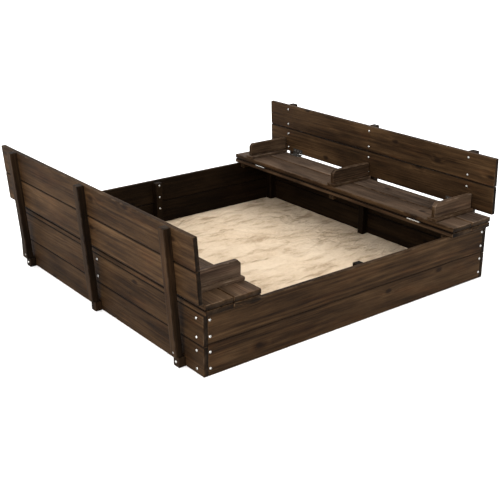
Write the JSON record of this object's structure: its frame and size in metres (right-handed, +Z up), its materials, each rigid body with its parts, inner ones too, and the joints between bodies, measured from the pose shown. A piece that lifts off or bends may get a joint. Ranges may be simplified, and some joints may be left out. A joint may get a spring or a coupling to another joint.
{
  "type": "sandbox with folding bench cover",
  "caption": "Low square wooden sandbox with sand inside and a hinged cover whose two sides fold open into facing benches with backrests and small armrests.",
  "frame": {"origin": "on the ground at the centre of the box", "axes": "+Z up; -Y towards the low front wall, seen first; +X towards the right bench, -X towards the left bench"},
  "size_m": [1.304, 1.193, 0.4296],
  "materials": {
    "stained_wood": "dark walnut-brown stain, satin, open softwood grain",
    "zinc_steel": "bright zinc plate, satin",
    "liner_fabric": "black woven ground cloth",
    "play_sand": "loose dry cream sand"
  },
  "bodies": {
    "box": {"front_wall_lower_plank": "stained_wood", "front_wall_upper_plank": "stained_wood", "back_wall_lower_plank": "stained_wood", "back_wall_upper_plank": "stained_wood", "left_wall_lower_plank": "stained_wood", "left_wall_upper_plank": "stained_wood", "right_wall_lower_plank": "stained_wood", "right_wall_upper_plank": "stained_wood", "front_left_corner_post": "stained_wood", "front_right_corner_post": "stained_wood", "front_centre_post": "stained_wood", "back_left_corner_post": "stained_wood", "back_right_corner_post": "stained_wood", "back_centre_post": "stained_wood", "left_centre_post": "stained_wood", "right_centre_post": "stained_wood", "left_ledge_inner_plank": "stained_wood", "left_ledge_outer_plank": "stained_wood", "right_ledge_inner_plank": "stained_wood", "right_ledge_outer_plank": "stained_wood", "left_near_seat_hinge_fixed_leaf": "zinc_steel", "left_far_seat_hinge_fixed_leaf": "zinc_steel", "right_near_seat_hinge_fixed_leaf": "zinc_steel", "right_far_seat_hinge_fixed_leaf": "zinc_steel", "ground_liner": "liner_fabric", "sand_fill": "play_sand"},
    "left_seat": {"left_seat_front_plank": "stained_wood", "left_seat_rear_plank": "stained_wood", "left_near_armrest": "stained_wood", "left_middle_armrest": "stained_wood", "left_far_armrest": "stained_wood", "left_near_seat_hinge_moving_leaf": "zinc_steel", "left_near_backrest_hinge_fixed_leaf": "zinc_steel", "left_far_seat_hinge_moving_leaf": "zinc_steel", "left_far_backrest_hinge_fixed_leaf": "zinc_steel"},
    "left_backrest": {"left_backrest_lower_plank": "stained_wood", "left_backrest_upper_plank": "stained_wood", "left_near_batten": "stained_wood", "left_middle_batten": "stained_wood", "left_far_batten": "stained_wood", "left_near_backrest_hinge_moving_leaf": "zinc_steel", "left_far_backrest_hinge_moving_leaf": "zinc_steel"},
    "right_seat": {"right_seat_front_plank": "stained_wood", "right_seat_rear_plank": "stained_wood", "right_near_armrest": "stained_wood", "right_middle_armrest": "stained_wood", "right_far_armrest": "stained_wood", "right_near_seat_hinge_moving_leaf": "zinc_steel", "right_near_backrest_hinge_fixed_leaf": "zinc_steel", "right_far_seat_hinge_moving_leaf": "zinc_steel", "right_far_backrest_hinge_fixed_leaf": "zinc_steel"},
    "right_backrest": {"right_backrest_lower_plank": "stained_wood", "right_backrest_upper_plank": "stained_wood", "right_near_batten": "stained_wood", "right_middle_batten": "stained_wood", "right_far_batten": "stained_wood", "right_near_backrest_hinge_moving_leaf": "zinc_steel", "right_far_backrest_hinge_moving_leaf": "zinc_steel"}
  },
  "joints": [
    {"name": "left_seat_hinge", "type": "hinge", "parent": "box", "child": "left_seat", "pos_m": [-0.4002, 0, 0.20725], "axis": [0, 1, 0], "range_deg": [0, 180]},
    {"name": "left_backrest_hinge", "type": "hinge", "parent": "left_seat", "child": "left_backrest", "pos_m": [-0.5985, 0, 0.2273], "axis": [0, -1, 0], "range_deg": [0, 85.8]},
    {"name": "right_seat_hinge", "type": "hinge", "parent": "box", "child": "right_seat", "pos_m": [0.4002, 0, 0.20725], "axis": [0, -1, 0], "range_deg": [0, 180]},
    {"name": "right_backrest_hinge", "type": "hinge", "parent": "right_seat", "child": "right_backrest", "pos_m": [0.5985, 0, 0.2273], "axis": [0, 1, 0], "range_deg": [0, 91.9]}
  ],
  "couplings": [
    {"joint": "left_backrest_hinge", "follows": "left_seat_hinge", "ratio": 0.47667},
    {"joint": "right_backrest_hinge", "follows": "right_seat_hinge", "ratio": 0.51055}
  ]
}
